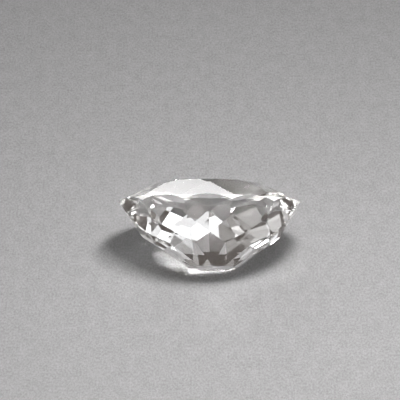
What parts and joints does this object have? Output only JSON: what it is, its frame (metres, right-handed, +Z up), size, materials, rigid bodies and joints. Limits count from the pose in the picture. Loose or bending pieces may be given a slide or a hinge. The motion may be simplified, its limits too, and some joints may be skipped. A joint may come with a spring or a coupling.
{
  "type": "faceted danburite",
  "caption": "Loose oval-cut clear danburite gem with a flat table, a low crown and a deep rounded pavilion, lying on one pavilion facet.",
  "frame": {"origin": "on the ground plane, under the middle of the stone's bounding box as it lies", "axes": "+X along the oval's long axis, +Y the way the table leans, +Z up from the surface the stone lies on"},
  "size_m": [0.013, 0.0092, 0.008],
  "materials": {
    "danburite": "polished clear crystal, colourless, with a finely ground girdle"
  },
  "bodies": {
    "root": {"danburite": "danburite"}
  },
  "joints": []
}
